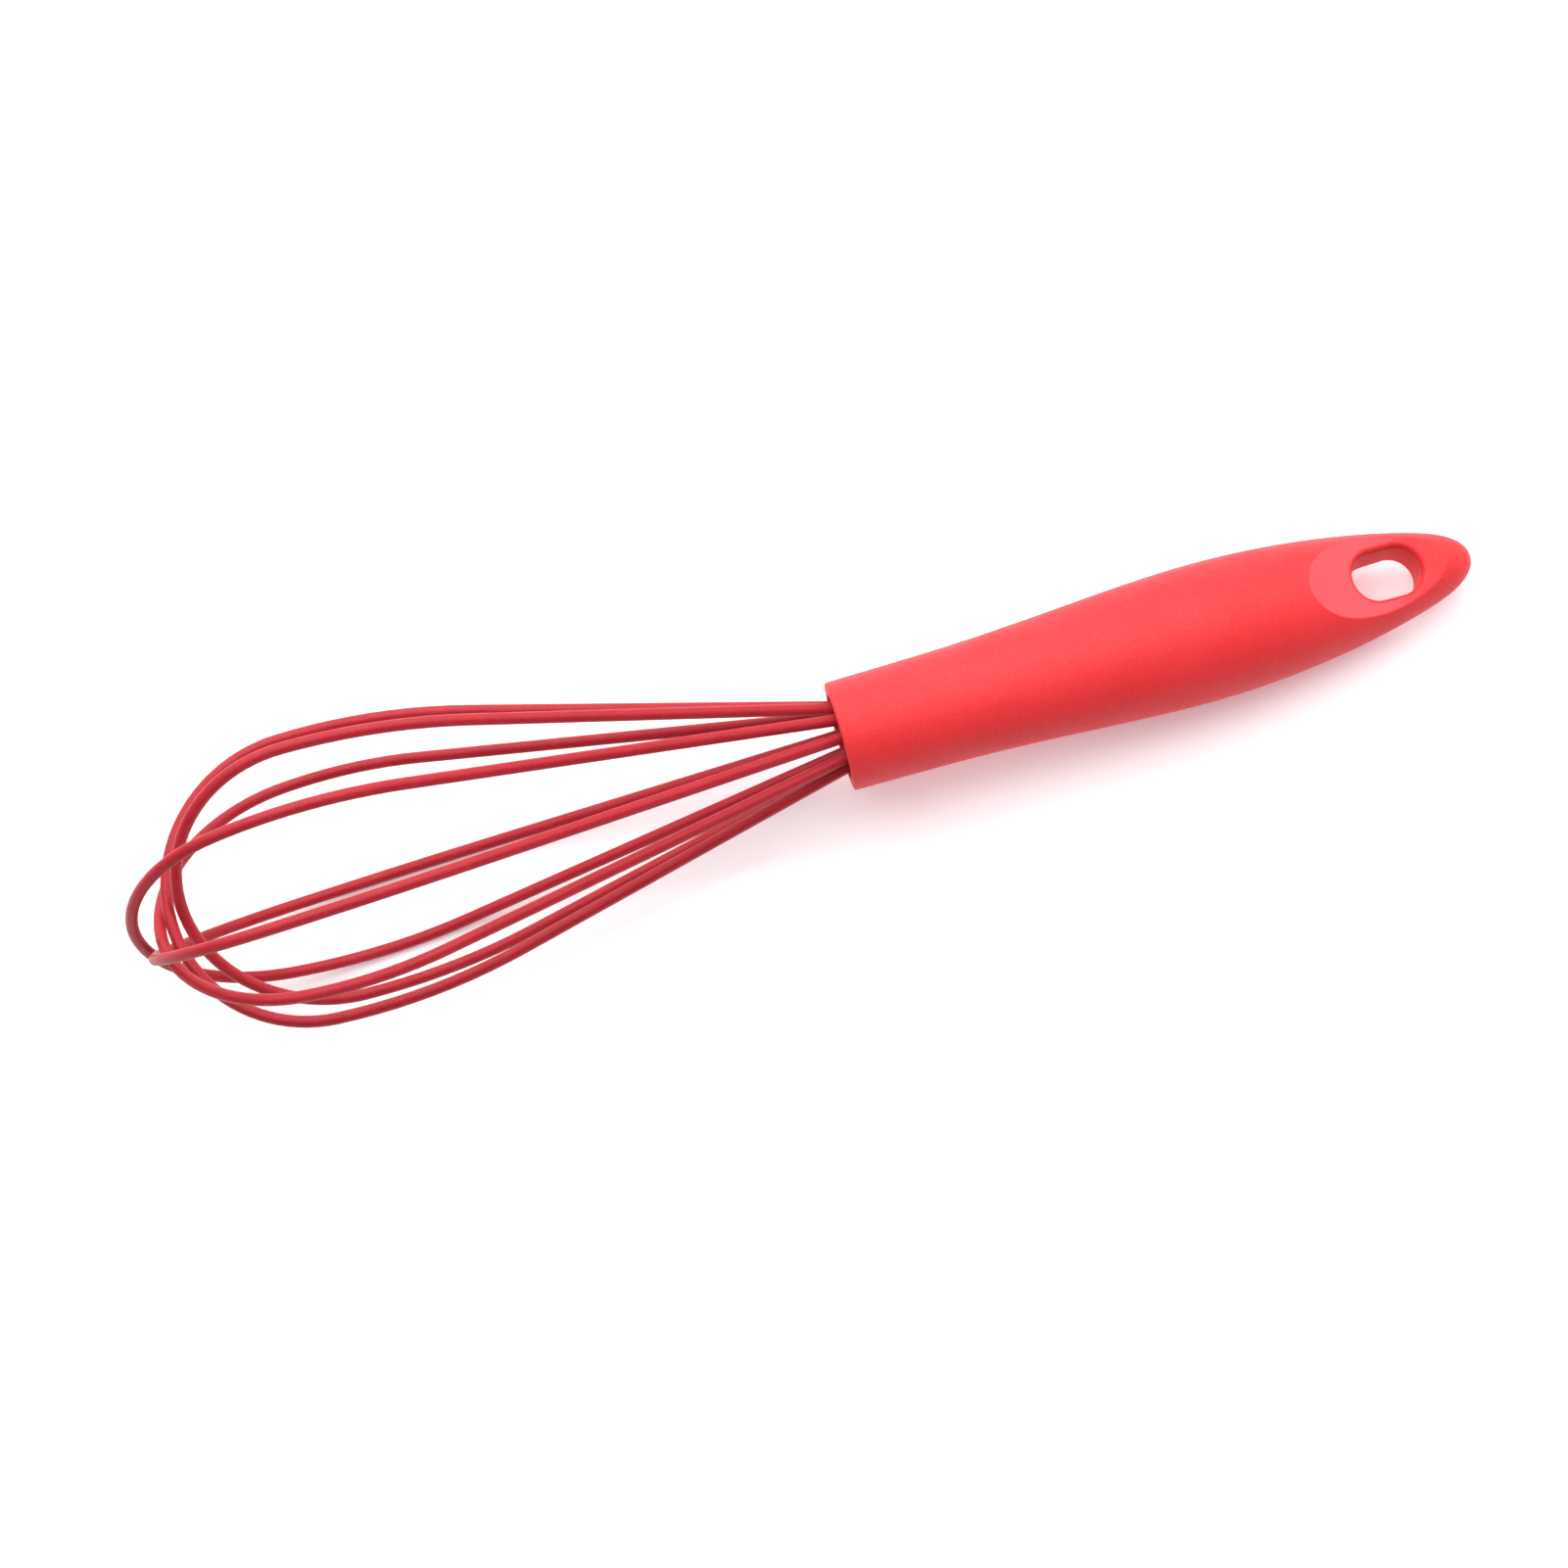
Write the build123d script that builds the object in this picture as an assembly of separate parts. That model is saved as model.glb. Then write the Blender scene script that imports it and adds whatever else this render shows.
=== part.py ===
from build123d import *
import math
import os

# Balloon whisk lying on a surface: a hollow moulded handle, and five crossed wire loops in
# silicone sleeves that a plug and cast resin hold in its mouth. Millimetres, +Z up.
#
# The pieces are built about the handle's own axis, with the origin at the centre of its mouth,
# +X towards the hanging end and +Z out of the upper face. The last step lays the whisk down.

# --- Handle outline, seen from above: (distance from the mouth, half width)
HANDLE_OUTLINE = [
    (0.0, 10.15),
    (27.0, 10.65),
    (50.0, 12.0),
    (68.0, 12.75),
    (87.5, 11.65),
    (103.6, 8.95),
    (112.0, 6.7),
    (117.0, 4.5),
    (120.0, 0.0),
]
OUTLINE_SLOPE_AT_MOUTH = 0.015
FLATNESS = 0.875  # thickness over width, from the belly to the hanging end
ROUND_MOUTH_RUN = 60.0  # over which the round mouth flattens to that
HANDLE_SECTIONS = 26
RIM_ROUND = 0.5

# --- Inside of the handle: a round socket for the plug and resin, then a tapered core
SOCKET_RADIUS = 8.0
SOCKET_DEPTH = 26.0
CORE_START_RADIUS = 7.4
CORE_END_RADIUS = 6.0
CORE_DEPTH = 84.0
CORE_END_ROUND = 3.0

# --- Dished facets above and below the hanging end, with the hang hole between them.
# Each facet starts and ends where the drum that dishes it meets the handle's surface.
FACET_START = (88.2, 10.1)
FACET_END = (114.0, 5.1)
FACET_DIP = 2.2
FACET_EDGE_ROUND = 0.5
DRUM_WIDTH = 40.0
HOLE_CENTRE = 103.3
HOLE_LENGTH = 13.0
HOLE_WIDTH = 9.0
HOLE_ROUND = 1.2
CUTTER_REACH = 20.0  # the hole's cutter, each way from the axis

# --- Plug and resin, measured inwards from the mouth
PLUG_RECESS = 3.0
PLUG_THICKNESS = 8.0
PLUG_CHAMFER = 0.4
GLUE_GAP = 0.05
RESIN_END = 25.0

# --- Wire loops
STEEL_RADIUS = 0.6
SLEEVE_RADIUS = 1.1
RING_RADIUS = 5.9  # of the ten legs, at the mouth
FLARE = 14.8  # degrees between a leg and the axis, outside the mouth
BEND_RADIUS = 11.5  # of the bend from straight to flared, just inside the mouth
BELLY = 94.3  # distance from the mouth to the widest place
STEEL_END = 22.0  # how far a bare leg reaches into the handle
SLEEVE_END = 7.0  # how far a sleeve reaches in
INNER_RING_RADIUS = RING_RADIUS - BEND_RADIUS * (1 - math.cos(math.radians(FLARE)))

# Each loop's turn about the axis, half width and reach from the mouth, and how far it leans
# within its own plane and tips out of it (degrees). The reaches differ, so that the loops
# cross at the end one outside another.
LOOPS = [
    {"turn": -16.0, "half_width": 27.0, "reach": 128.9, "lean": 1.3, "tip": -1.8},
    {"turn": 17.8, "half_width": 28.3, "reach": 131.3, "lean": 0.6, "tip": -0.7},
    {"turn": 48.3, "half_width": 26.6, "reach": 122.4, "lean": 1.2, "tip": 0.0},
    {"turn": 92.8, "half_width": 26.8, "reach": 125.0, "lean": 1.1, "tip": -0.7},
    {"turn": 125.1, "half_width": 28.4, "reach": 127.2, "lean": 0.2, "tip": -0.6},
]

# --- How the whisk lies: on two loops and the belly of the handle (degrees)
REST_PITCH = 5.15
REST_ROLL = -3.22


def thickness_share(distance):
    """The handle's thickness as a share of its width, this far from the mouth."""
    to_go = max(0.0, 1 - distance / ROUND_MOUTH_RUN)
    return FLATNESS + (1 - FLATNESS) * to_go ** 2


def handle_body():
    """The outer shape: elliptical sections along the outline, closing to a rounded end."""
    outline = Spline(*HANDLE_OUTLINE, tangents=[(1, OUTLINE_SLOPE_AT_MOUTH), (0, -1)])
    sections = []
    for index in range(HANDLE_SECTIONS):
        point = outline @ (index / HANDLE_SECTIONS)
        section_plane = Plane(origin=(point.X, 0, 0), x_dir=(0, 1, 0), z_dir=(1, 0, 0))
        sections.append(section_plane * Ellipse(point.Y, point.Y * thickness_share(point.X)))
    end = outline @ 1
    return loft([*sections, Vertex(end.X, 0, 0)])


def handle_core():
    """The empty space inside: the socket, then the tapered core with its rounded end."""
    standing = (Align.CENTER, Align.CENTER, Align.MIN)
    socket = Cylinder(SOCKET_RADIUS, SOCKET_DEPTH, align=standing)
    core = Cone(CORE_START_RADIUS, CORE_END_RADIUS, CORE_DEPTH, align=standing)
    core = fillet(core.edges().group_by(Axis.Z)[-1], CORE_END_ROUND)
    return Plane.YZ * (socket + core)


def facet_drum():
    """A drum lying across the handle, whose side dishes the upper face."""
    start = Vector(FACET_START[0], 0, FACET_START[1])
    end = Vector(FACET_END[0], 0, FACET_END[1])
    chord = end - start
    radius = chord.length ** 2 / (8 * FACET_DIP) + FACET_DIP / 2
    outward = Vector(-chord.Z, 0, chord.X).normalized()
    centre = (start + end) / 2 + outward * (radius - FACET_DIP)
    return Pos(*centre) * Cylinder(radius, DRUM_WIDTH, rotation=(90, 0, 0))


def hang_hole():
    slot = extrude(SlotOverall(HOLE_LENGTH, HOLE_WIDTH), CUTTER_REACH, both=True)
    return Pos(HOLE_CENTRE, 0, 0) * slot


def make_handle():
    """The moulded handle, rounded at its rim, facets and hole, and hollow from the mouth."""
    body = handle_body()
    body = fillet(body.edges().group_by(Axis.X)[0], RIM_ROUND)
    upper_drum = facet_drum()
    body -= upper_drum
    body -= mirror(upper_drum, about=Plane.XY)
    facet_edges = body.edges().filter_by(lambda edge: edge.center().X > FACET_START[0])
    body = fillet(facet_edges, FACET_EDGE_ROUND)
    body -= hang_hole()
    rims = body.edges().filter_by(on_hole_rim)
    body = fillet(rims, HOLE_ROUND)
    return body - handle_core()


def on_hole_rim(edge):
    """True for an edge around either end of the hang hole."""
    middle = edge.position_at(0.5)
    along = max(0, abs(middle.X - HOLE_CENTRE) - (HOLE_LENGTH - HOLE_WIDTH) / 2)
    on_wall = abs(math.hypot(along, middle.Y) - HOLE_WIDTH / 2) < 0.05
    return on_wall and abs(middle.Z) > 1


def loop_plane(turn, lean, tip):
    """The plane that a loop lies in: x runs out from the mouth, and y out to one leg."""
    turn, lean, tip = (math.radians(angle) for angle in (turn, lean, tip))
    to_leg = Vector(0, math.sin(turn), math.cos(turn))
    across = Vector(0, math.cos(turn), -math.sin(turn))
    outward = Vector(-1, 0, 0) + to_leg * math.tan(lean) + across * math.tan(tip)
    return Plane(origin=(0, 0, 0), x_dir=outward, z_dir=outward.cross(to_leg))


def loop_path(loop, leg_end):
    """One loop's centre line: straight legs that flare, belly arcs, and an arc round the end."""
    flare = math.radians(FLARE)
    half_width = loop["half_width"]
    belly_radius = (BELLY * math.tan(flare) - half_width + RING_RADIUS) / (1 / math.cos(flare) - 1)
    run = loop["reach"] - BELLY
    end_radius = (run ** 2 + half_width ** 2 - 2 * belly_radius * half_width) / (2 * (run - belly_radius))
    # The belly arc hands over to the end arc on the line through both centres.
    handover = math.degrees(math.atan2(run - end_radius, belly_radius - half_width))

    bend_start = -BEND_RADIUS * math.sin(flare)
    belly_start = (BELLY - belly_radius * math.sin(flare),
                   half_width - belly_radius * (1 - math.cos(flare)))
    leg = Line((-leg_end, INNER_RING_RADIUS), (bend_start, INNER_RING_RADIUS))
    bend = JernArc(leg @ 1, leg % 1, BEND_RADIUS, FLARE)
    flared = Line(bend @ 1, belly_start)
    belly = JernArc(flared @ 1, flared % 1, belly_radius, -(FLARE + handover))
    end = JernArc(belly @ 1, belly % 1, end_radius, -2 * (90 - handover))
    one_side = [leg, bend, flared, belly]
    other_side = [mirror(piece, about=Plane.XZ) for piece in reversed(one_side)]
    path = Wire([piece.edge() for piece in (*one_side, end, *other_side)])
    return loop_plane(loop["turn"], loop["lean"], loop["tip"]) * path


def tube(path, radius):
    """A round rod of this radius along the path."""
    section_plane = Plane(origin=path @ 0, z_dir=path % 0)
    return sweep(section_plane * Circle(radius), path)


def make_loops():
    """The steel wire and the silicone sleeve of each loop."""
    steels = []
    sleeves = []
    for loop in LOOPS:
        steels.append(tube(loop_path(loop, STEEL_END), STEEL_RADIUS))
        sleeve_path = loop_path(loop, SLEEVE_END)
        sleeves.append(tube(sleeve_path, SLEEVE_RADIUS) - tube(sleeve_path, STEEL_RADIUS))
    return steels, sleeves


def leg_holes():
    """The ten stepped holes: wide enough for the sleeve at first, then for the bare wire only."""
    inwards = (Align.CENTER, Align.CENTER, Align.MAX)
    holes = []
    for loop in LOOPS:
        plane = loop_plane(loop["turn"], loop["lean"], loop["tip"])
        for offset in (INNER_RING_RADIUS, -INNER_RING_RADIUS):
            for radius, depth in ((SLEEVE_RADIUS, SLEEVE_END), (STEEL_RADIUS, STEEL_END)):
                rod = Plane.YZ * Cylinder(radius, depth, align=inwards)
                holes.append(plane * Pos(0, offset, 0) * rod)
    return holes


def disc(start, end):
    """A round slug that fills the socket between two depths."""
    slug = Cylinder(SOCKET_RADIUS - GLUE_GAP, end - start, align=(Align.CENTER, Align.CENTER, Align.MIN))
    return Plane.YZ * Pos(0, 0, start) * slug


def make_plug():
    plug = disc(PLUG_RECESS, PLUG_RECESS + PLUG_THICKNESS)
    plug = chamfer(plug.edges().group_by(Axis.X)[0], PLUG_CHAMFER)
    return plug - leg_holes()


def make_resin():
    return disc(PLUG_RECESS + PLUG_THICKNESS, RESIN_END) - leg_holes()


def lay_down(pieces):
    """Turns the whisk to the way it lies, and puts the middle of its box over the origin."""
    turn = Rot(Y=REST_PITCH) * Rot(X=REST_ROLL)
    turned = {name: turn * piece for name, piece in pieces.items()}
    boxes = [piece.bounding_box() for piece in turned.values()]
    box = boxes[0]
    for other in boxes[1:]:
        box = box.add(other)
    middle = box.center()
    shift = Pos(-middle.X, -middle.Y, -box.min.Z)
    return {name: shift * piece for name, piece in turned.items()}


def build():
    pieces = {"handle": make_handle(), "wire_plug": make_plug(), "potting": make_resin()}
    steels, sleeves = make_loops()
    for number, (steel, sleeve) in enumerate(zip(steels, sleeves), start=1):
        pieces[f"steel_wire_{number}"] = steel
        pieces[f"silicone_sleeve_{number}"] = sleeve
    return lay_down(pieces)


if __name__ == "__main__":
    os.makedirs("parts", exist_ok=True)
    for name, piece in build().items():
        export_step(piece, f"parts/{name}.step")
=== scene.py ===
import math

import bpy
from mathutils import Matrix, Vector

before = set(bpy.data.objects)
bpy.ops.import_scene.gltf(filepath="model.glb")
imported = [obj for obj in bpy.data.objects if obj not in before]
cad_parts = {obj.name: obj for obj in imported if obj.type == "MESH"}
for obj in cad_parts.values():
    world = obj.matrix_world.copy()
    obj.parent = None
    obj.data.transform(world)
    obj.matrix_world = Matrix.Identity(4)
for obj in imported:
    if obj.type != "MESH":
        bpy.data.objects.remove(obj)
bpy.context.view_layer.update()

# Balloon whisk lying on a pale floor. Metres, in the frame of the CAD model: +X along the whisk
# towards the hang hole, +Z up, and the origin under the middle of the whisk. Every CAD node keeps
# its shape and gets a procedural material.

LOOP_COUNT = 5
ORIGIN = Vector((0, 0, 0))

# --- Camera: above the whisk and a little to its -Y side, rolled so that the handle points up
CAMERA_PLACE = Vector((0.0243, -0.0867, 0.5035))
CAMERA_TARGET = Vector((-0.0058, -0.0076, 0.020))
CAMERA_ROLL = math.radians(-16.30)
CAMERA_LENS_MM = 62.3
SENSOR_MM = 36.0

# --- Light: soft boxes overhead, on the +Y side and beyond the hanging end, a dim sky above a
# white horizon, and a floor sheet that glows a little, and more towards its edges
FLOOR_SIZE = 2.6
FLOOR_GLOW = 0.28
FLOOR_EDGE_GLOW = 0.75
FLOOR_FADE = (0.55, 1.15)  # distances from the whisk over which the one turns into the other
SKY_STRENGTH = 0.15
HORIZON_STRENGTH = 1.0
HORIZON_TOP = (0.08, 0.20)  # sines of the angles over which the horizon fades into the sky
SOFT_BOXES = {
    "overhead": {"place": Vector((-0.05, 0.55, 1.40)), "size": 1.8, "power": 26.0},
    "wall": {"place": Vector((-0.20, 1.30, 0.85)), "size": 1.7, "power": 15.0},
    "beyond_tail": {"place": Vector((1.20, 0.38, 0.82)), "size": 0.8, "power": 9.0},
}

# --- Handle, as the CAD model lays it down: its mouth's centre, and how it is turned there
MOUTH_CENTRE = Vector((0.00613, -0.00192, 0.01802))
REST_PITCH = math.radians(5.15)
REST_ROLL = math.radians(-3.22)
HANDLE_TURN = Matrix.Rotation(REST_PITCH, 3, "Y") @ Matrix.Rotation(REST_ROLL, 3, "X")
HANDLE_ACROSS = HANDLE_TURN @ Vector((0, 1, 0))
HANDLE_UP = HANDLE_TURN @ Vector((0, 0, 1))
MOULD_LINE_WIDTH = 0.00025

# --- The handle's two facets: where the drum that dishes the upper one starts and ends, as
# distances along the handle and out from its axis, and how deep it dips between the two
FACET_START = (0.0882, 0.0101)
FACET_END = (0.1140, 0.0051)
FACET_DIP = 0.0022
FACET_SHEEN_DEPTH = 0.0001  # how far from the drum's side the facets' painted sheen reaches
FACET_SHEEN_FADE = (0.109, 0.115)  # along X, where that painted sheen runs out towards the tail's end

# --- Colours, in linear RGB: the main one, the deeper one it drifts to in patches, and the paler
# one of rubbed edges, which along the handle's edges is also a painted highlight
HANDLE_COLOURS = {"base": (0.775, 0.030, 0.036), "shade": (0.725, 0.024, 0.029), "worn_and_highlight": (0.80, 0.085, 0.095)}
# Lighter, pinker colour of the handle's facets: a painted sheen, standing in for the light they catch
FACET_SHEEN_COLOUR = (0.80, 0.070, 0.086)
PLUG_COLOURS = {"base": (0.46, 0.016, 0.026), "shade": (0.40, 0.012, 0.021), "worn_and_highlight": (0.56, 0.05, 0.06)}
SILICONE_COLOURS = {"base": (0.44, 0.018, 0.030), "shade": (0.39, 0.013, 0.023), "worn_and_highlight": (0.52, 0.07, 0.09)}
STEEL_COLOURS = {"base": (0.58, 0.57, 0.56), "shade": (0.44, 0.43, 0.42), "worn_and_highlight": (0.70, 0.69, 0.68)}
RESIN_COLOURS = {"base": (0.62, 0.48, 0.24), "shade": (0.50, 0.36, 0.15), "worn_and_highlight": (0.70, 0.60, 0.40)}
FLOOR_COLOURS = {"base": (0.90, 0.90, 0.90), "shade": (0.89, 0.89, 0.89)}
FLOOR_GLOW_COLOUR = (1.0, 0.90, 0.97, 1.0)
SKY_COLOUR = (1.0, 1.0, 1.0, 1.0)

# --- Paler edges, partly rubbed wear and partly a painted highlight: the agreement between the
# true and the rounded-off normal at which an edge is fully pale, and at which a face is untouched
WORN_AGREEMENT = 0.90
UNWORN_AGREEMENT = 0.995


class Shading:
    """A new material, and the few node patterns that all of its looks are made from."""

    def __init__(self, name):
        self.material = bpy.data.materials.new(name)
        self.material.use_nodes = True
        self.nodes = self.material.node_tree.nodes
        self.links = self.material.node_tree.links
        self.shader = self.nodes["Principled BSDF"]

    def set(self, **values):
        """Sets constants on the shader's sockets; an underscore stands for a space."""
        for name, value in values.items():
            self.shader.inputs[name.replace("_", " ")].default_value = value

    def feed(self, socket, value):
        """Links a pattern to one of the shader's sockets."""
        self.links.new(value, self.shader.inputs[socket])

    def coordinates(self):
        return self.nodes.new("ShaderNodeTexCoord").outputs["Object"]

    def noise(self, scale, detail, roughness=0.5):
        """Noise over the object's own coordinates, in cycles per metre."""
        texture = self.nodes.new("ShaderNodeTexNoise")
        texture.inputs["Scale"].default_value = scale
        texture.inputs["Detail"].default_value = detail
        texture.inputs["Roughness"].default_value = roughness
        self.links.new(self.coordinates(), texture.inputs["Vector"])
        return texture.outputs["Fac"]

    def spread(self, value, low, high, from_low=0.3, from_high=0.7):
        """Maps a value, by default the usual span of a noise, onto the range from low to high."""
        remap = self.nodes.new("ShaderNodeMapRange")
        limits = {"From Min": from_low, "From Max": from_high, "To Min": low, "To Max": high}
        for name, limit in limits.items():
            remap.inputs[name].default_value = limit
        self.links.new(value, remap.inputs["Value"])
        return remap.outputs["Result"]

    def mix(self, share, first, second):
        """Blends two colours, each an RGB triple or another node's output."""
        mix = self.nodes.new("ShaderNodeMix")
        mix.data_type = "RGBA"
        for socket, colour in ((mix.inputs["A"], first), (mix.inputs["B"], second)):
            if isinstance(colour, tuple):
                socket.default_value = (*colour, 1.0)
            else:
                self.links.new(colour, socket)
        self.links.new(share, mix.inputs["Factor"])
        return mix.outputs["Result"]

    def patches(self, colours, scale, detail):
        """The main colour, drifting to the deeper one in patches."""
        share = self.spread(self.noise(scale, detail), low=0.0, high=1.0)
        return self.mix(share, colours["base"], colours["shade"])

    def edge_wear_and_highlight(self, radius, strength):
        """High along edges, where the surface turns within this radius."""
        rounded = self.nodes.new("ShaderNodeBevel")
        rounded.inputs["Radius"].default_value = radius
        geometry = self.nodes.new("ShaderNodeNewGeometry")
        agreement = self.nodes.new("ShaderNodeVectorMath")
        agreement.operation = "DOT_PRODUCT"
        self.links.new(rounded.outputs["Normal"], agreement.inputs[0])
        self.links.new(geometry.outputs["Normal"], agreement.inputs[1])
        return self.spread(agreement.outputs["Value"], strength, 0.0, WORN_AGREEMENT, UNWORN_AGREEMENT)

    def calculate(self, operation, value, second=None):
        """One sum on a value and a constant or another value."""
        node = self.nodes.new("ShaderNodeMath")
        node.operation = operation
        self.links.new(value, node.inputs[0])
        if isinstance(second, float):
            node.inputs[1].default_value = second
        elif second is not None:
            self.links.new(second, node.inputs[1])
        return node.outputs["Value"]

    def calculate_vector(self, operation, vector, second=None):
        """One sum on a vector and a constant one; returns the node."""
        node = self.nodes.new("ShaderNodeVectorMath")
        node.operation = operation
        self.links.new(vector, node.inputs[0])
        if second is not None:
            node.inputs[1].default_value = second
        return node

    def length(self, vector):
        return self.calculate_vector("LENGTH", vector).outputs["Value"]

    def along(self, direction):
        """How far along a direction the surface is, from the origin."""
        return self.calculate_vector("DOT_PRODUCT", self.coordinates(), direction).outputs["Value"]

    def distance_from_plane(self, point, normal):
        """How far the surface is from a plane, on either side of it."""
        return self.calculate("ABSOLUTE", self.calculate("SUBTRACT", self.along(normal), point.dot(normal)))

    def distance_from_line(self, point, direction):
        """How far the surface is from a line."""
        offset = self.calculate_vector("SUBTRACT", self.coordinates(), point).outputs["Vector"]
        return self.length(self.calculate_vector("CROSS_PRODUCT", offset, direction).outputs["Vector"])

    def near(self, distance, wanted, tolerance):
        """1 where the distance is the wanted one, falling to 0 at the tolerance from it."""
        miss = self.calculate("ABSOLUTE", self.calculate("SUBTRACT", distance, wanted))
        return self.spread(miss, low=1.0, high=0.0, from_low=0.0, from_high=tolerance)

    def bump(self, height, distance, strength, below=None):
        """A bump layer, on top of the one below it if given."""
        layer = self.nodes.new("ShaderNodeBump")
        layer.inputs["Strength"].default_value = strength
        layer.inputs["Distance"].default_value = distance
        self.links.new(height, layer.inputs["Height"])
        if below is not None:
            self.links.new(below, layer.inputs["Normal"])
        return layer.outputs["Normal"]


def facet_drums():
    """The radius of the drums that dish the handle's upper and lower facet, and their centres."""
    start = Vector((FACET_START[0], 0, FACET_START[1]))
    end = Vector((FACET_END[0], 0, FACET_END[1]))
    chord = end - start
    radius = chord.length ** 2 / (8 * FACET_DIP) + FACET_DIP / 2
    outward = Vector((-chord.z, 0, chord.x)).normalized()
    upper = (start + end) / 2 + outward * (radius - FACET_DIP)
    lower = Vector((upper.x, 0, -upper.z))
    return radius, [MOUTH_CENTRE + HANDLE_TURN @ centre for centre in (upper, lower)]


def painted_sheen_on_facets(look):
    """1 on the handle's two facets, where their painted sheen goes, fading out towards the tail's end."""
    radius, centres = facet_drums()
    upper, lower = (
        look.near(look.distance_from_line(centre, HANDLE_ACROSS), radius, FACET_SHEEN_DEPTH) for centre in centres
    )
    fade = look.spread(look.along(Vector((1, 0, 0))), 1.0, 0.0, *FACET_SHEEN_FADE)
    return look.calculate("MULTIPLY", look.calculate("MAXIMUM", upper, lower), fade)


def moulded_plastic(name, colours, facet_sheen_colour=None):
    """Matte moulded plastic: spark-eroded grain, handling marks, rubbed edges that are also a painted
    highlight, and a mould line.
    The handle's two facets take the facet colour, a painted sheen, if one is given."""
    look = Shading(name)
    look.set(IOR=1.49, Specular_IOR_Level=0.28, Subsurface_Weight=0.08, Subsurface_Scale=1.0)
    look.set(Subsurface_Radius=(0.0012, 0.0004, 0.0004))

    colour = look.patches(colours, scale=55, detail=3)
    if facet_sheen_colour is not None:
        # Painted sheen: the facets are painted lighter and pinker, as if catching the light
        colour = look.mix(painted_sheen_on_facets(look), colour, facet_sheen_colour)
    grain = look.noise(scale=1500, detail=2, roughness=0.7)
    speckle = look.spread(grain, low=0.0, high=0.16, from_low=0.4, from_high=0.65)
    colour = look.mix(speckle, colour, colours["worn_and_highlight"])
    # Paler edges: partly rubbed wear, partly a painted highlight where the edges catch the light
    colour = look.mix(look.edge_wear_and_highlight(radius=0.0008, strength=0.35), colour, colours["worn_and_highlight"])
    look.feed("Base Color", colour)
    handling = look.noise(scale=90, detail=4, roughness=0.6)
    look.feed("Roughness", look.spread(handling, low=0.46, high=0.58))

    spark_marks = look.noise(scale=1900, detail=2, roughness=0.7)
    surface = look.bump(spark_marks, distance=0.00012, strength=0.6)
    surface = look.bump(look.noise(scale=160, detail=1), distance=0.00005, strength=0.2, below=surface)
    mould_line = look.near(look.distance_from_plane(MOUTH_CENTRE, HANDLE_UP), 0.0, MOULD_LINE_WIDTH)
    look.feed("Normal", look.bump(mould_line, distance=0.00004, strength=0.5, below=surface))
    return look.material


def silicone(name, colours):
    """Soft coloured silicone: slightly translucent, satin, uneven, with dust and a rubbed bloom."""
    look = Shading(name)
    look.set(IOR=1.41, Specular_IOR_Level=0.3, Subsurface_Weight=0.15, Subsurface_Scale=1.0)
    look.set(Subsurface_Radius=(0.0010, 0.0003, 0.0003), Sheen_Weight=0.05, Sheen_Roughness=0.5)

    colour = look.patches(colours, scale=120, detail=3)
    specks = look.noise(scale=1400, detail=3, roughness=0.7)
    dust = look.spread(specks, low=0.0, high=0.25, from_low=0.5, from_high=0.8)
    colour = look.mix(dust, colour, colours["worn_and_highlight"])
    colour = look.mix(look.edge_wear_and_highlight(radius=0.0003, strength=0.4), colour, colours["worn_and_highlight"])
    look.feed("Base Color", colour)
    look.feed("Roughness", look.spread(look.noise(scale=200, detail=4, roughness=0.6), low=0.36, high=0.50))

    skin = look.bump(look.noise(scale=2200, detail=2), distance=0.00003, strength=0.35)
    waviness = look.noise(scale=260, detail=1)
    look.feed("Normal", look.bump(waviness, distance=0.00012, strength=0.3, below=skin))
    return look.material


def drawn_steel(name, colours):
    """Drawn spring steel wire: bright, lightly scratched and stained, brighter at its cut ends."""
    look = Shading(name)
    look.set(Metallic=1.0)
    colour = look.patches(colours, scale=140, detail=3)
    colour = look.mix(look.edge_wear_and_highlight(radius=0.0002, strength=0.6), colour, colours["worn_and_highlight"])
    look.feed("Base Color", colour)
    look.feed("Roughness", look.spread(look.noise(scale=900, detail=3), low=0.24, high=0.42))
    look.feed("Normal", look.bump(look.noise(scale=3000, detail=2), distance=0.00002, strength=0.4))
    return look.material


def cast_resin(name, colours):
    """Amber epoxy as poured: glossy, slightly cloudy, paler where it thins at the edge."""
    look = Shading(name)
    look.set(IOR=1.55, Subsurface_Weight=0.35, Subsurface_Scale=1.0)
    look.set(Subsurface_Radius=(0.004, 0.002, 0.001))
    colour = look.patches(colours, scale=220, detail=3)
    colour = look.mix(look.edge_wear_and_highlight(radius=0.0004, strength=0.5), colour, colours["worn_and_highlight"])
    look.feed("Base Color", colour)
    look.feed("Roughness", look.spread(look.noise(scale=300, detail=2), low=0.10, high=0.25))
    look.feed("Normal", look.bump(look.noise(scale=500, detail=2), distance=0.00004, strength=0.3))
    return look.material


def floor_sheet(name, colours):
    """Pale matte sheet with a barely visible tooth, glowing more towards its edges."""
    look = Shading(name)
    look.set(Specular_IOR_Level=0.2, Emission_Color=FLOOR_GLOW_COLOUR)
    distance = look.length(look.coordinates())
    look.feed("Emission Strength", look.spread(distance, FLOOR_GLOW, FLOOR_EDGE_GLOW, *FLOOR_FADE))
    look.feed("Base Color", look.patches(colours, scale=400, detail=2))
    look.feed("Roughness", look.spread(look.noise(scale=60, detail=2), low=0.75, high=0.85))
    return look.material


def dress(node_name, material):
    """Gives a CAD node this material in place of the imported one."""
    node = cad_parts[node_name]
    node.data.materials.clear()
    node.data.materials.append(material)


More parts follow.
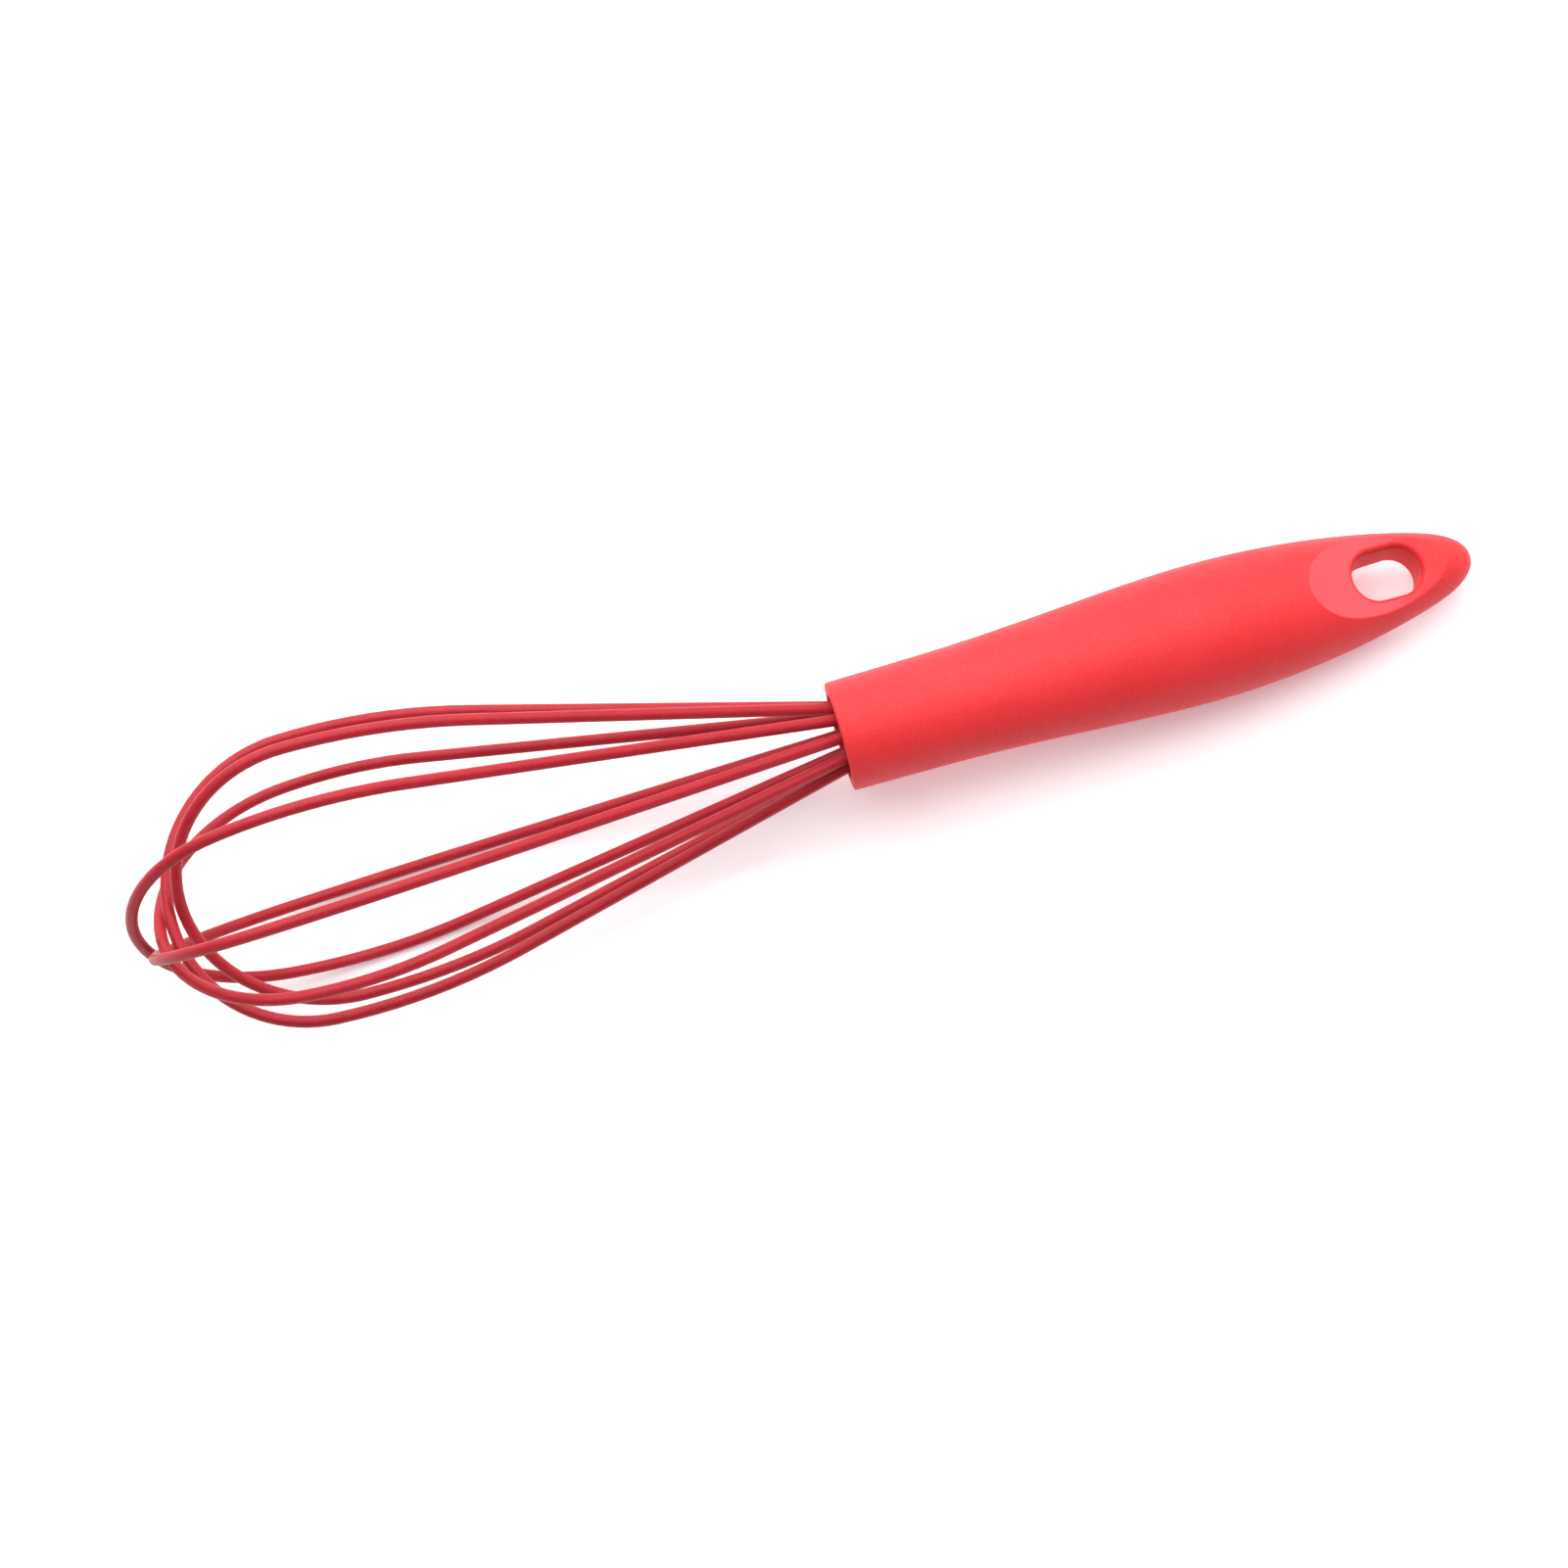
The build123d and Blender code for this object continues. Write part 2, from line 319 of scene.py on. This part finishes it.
def dress_all():
    dress("handle", moulded_plastic("handle_plastic", HANDLE_COLOURS, FACET_SHEEN_COLOUR))
    dress("wire_plug", moulded_plastic("plug_plastic", PLUG_COLOURS))
    dress("potting", cast_resin("cast_resin", RESIN_COLOURS))
    steel = drawn_steel("drawn_steel", STEEL_COLOURS)
    red_silicone = silicone("red_silicone", SILICONE_COLOURS)
    for number in range(1, LOOP_COUNT + 1):
        dress(f"steel_wire_{number}", steel)
        dress(f"silicone_sleeve_{number}", red_silicone)


def make_floor():
    bpy.ops.mesh.primitive_plane_add(size=FLOOR_SIZE, location=ORIGIN)
    floor = bpy.context.object
    floor.name = "floor"
    floor.data.materials.append(floor_sheet("floor_sheet", FLOOR_COLOURS))


def look_at(place, target, roll=0.0):
    """The place and turn of a camera or light at place that points to target, with +Y upwards."""
    upwards = Vector((0, 1, 0))
    back = (place - target).normalized()
    right = upwards.cross(back).normalized()
    turn = Matrix((right, back.cross(right), back)).transposed()
    turn = turn @ Matrix.Rotation(roll, 3, "Z")
    return Matrix.Translation(place) @ turn.to_4x4()


def make_camera():
    camera = bpy.data.objects.new("camera", bpy.data.cameras.new("camera"))
    camera.data.sensor_width = SENSOR_MM
    camera.data.lens = CAMERA_LENS_MM
    camera.matrix_world = look_at(CAMERA_PLACE, CAMERA_TARGET, CAMERA_ROLL)
    bpy.context.scene.collection.objects.link(camera)
    bpy.context.scene.camera = camera


def make_sky():
    """White from below the horizon to a little above it, and dim overhead."""
    world = bpy.data.worlds.new("sky")
    world.use_nodes = True
    nodes = world.node_tree.nodes
    links = world.node_tree.links
    direction = nodes.new("ShaderNodeTexCoord")
    height = nodes.new("ShaderNodeSeparateXYZ")
    links.new(direction.outputs["Generated"], height.inputs["Vector"])
    fade = nodes.new("ShaderNodeMapRange")
    fade.inputs["From Min"].default_value = HORIZON_TOP[0]
    fade.inputs["From Max"].default_value = HORIZON_TOP[1]
    fade.inputs["To Min"].default_value = HORIZON_STRENGTH
    fade.inputs["To Max"].default_value = SKY_STRENGTH
    links.new(height.outputs["Z"], fade.inputs["Value"])
    background = nodes["Background"]
    background.inputs["Color"].default_value = SKY_COLOUR
    links.new(fade.outputs["Result"], background.inputs["Strength"])
    bpy.context.scene.world = world


def make_soft_box(name, box):
    """A round soft box that points to the middle of the whisk."""
    light = bpy.data.objects.new(name, bpy.data.lights.new(name, "AREA"))
    light.data.shape = "DISK"
    light.data.size = box["size"]
    light.data.energy = box["power"]
    light.matrix_world = look_at(box["place"], ORIGIN)
    bpy.context.scene.collection.objects.link(light)


dress_all()
make_floor()
make_camera()
make_sky()
for name, box in SOFT_BOXES.items():
    make_soft_box(name, box)
bpy.context.scene.view_settings.view_transform = "Standard"
